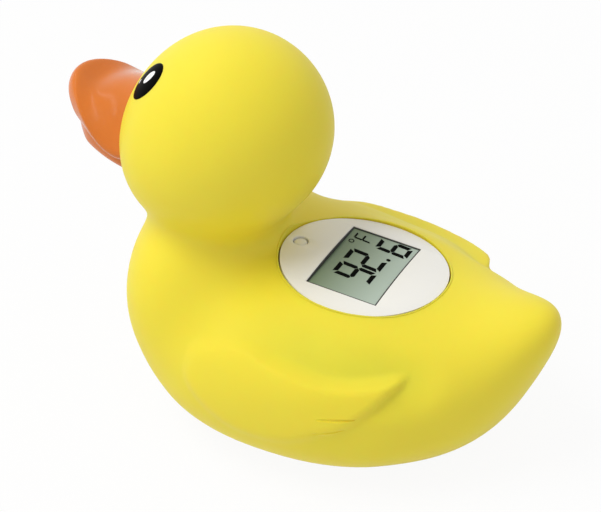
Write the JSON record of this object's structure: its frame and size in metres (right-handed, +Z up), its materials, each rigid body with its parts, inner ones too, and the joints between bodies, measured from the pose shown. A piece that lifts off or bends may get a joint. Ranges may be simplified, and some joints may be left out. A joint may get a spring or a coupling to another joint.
{
  "type": "baby bath thermometer",
  "caption": "Floating duck-shaped bath temperature gauge with an oval display plate let into its back and a sensor tip in its belly.",
  "frame": {"origin": "on the standing plane, under the middle of the whole duck", "axes": "+Z up, +Y towards the tail, +X towards the duck's left side"},
  "size_m": [0.073, 0.1108, 0.0827],
  "materials": {
    "yellow_vinyl": "satin",
    "orange_vinyl": "glossy",
    "black_gloss": "glossy",
    "white_plastic": "satin",
    "lens_plastic": "frosted",
    "screen_glass": "smooth",
    "grey_plastic": "matte",
    "strip_rubber": "matte",
    "board_green": "satin",
    "black_resin": "matte",
    "black_rubber": "matte",
    "steel": "polished",
    "red_wire": "satin",
    "black_wire": "satin"
  },
  "bodies": {
    "root": {"duck_body": "yellow_vinyl", "beak": "orange_vinyl", "eye_left": "black_gloss", "eye_right": "black_gloss", "face_plate": "white_plastic", "alarm_light_pipe": "lens_plastic", "alarm_led": "lens_plastic", "lcd_panel": "screen_glass", "lcd_holder": "grey_plastic", "connector_strip_head": "strip_rubber", "connector_strip_tail": "strip_rubber", "circuit_board": "board_green", "board_screw_left": "steel", "board_screw_right": "steel", "chip_cover": "black_resin", "timing_crystal": "steel", "capacitor": "black_resin", "upper_case": "grey_plastic", "lower_case": "grey_plastic", "side_contact": "steel", "case_screw_left": "steel", "case_screw_right": "steel", "belly_cover": "white_plastic", "cover_screw_left": "steel", "cover_screw_right": "steel", "belly_seal": "black_rubber", "cell_door": "white_plastic", "door_seal": "black_rubber", "button_cell_lower": "steel", "button_cell_upper": "steel", "cell_spring": "steel", "sensor_cap": "steel", "sensing_bead": "black_resin", "sensor_lead_left": "red_wire", "sensor_lead_right": "red_wire", "spring_lead": "black_wire", "contact_lead": "red_wire"}
  },
  "joints": []
}
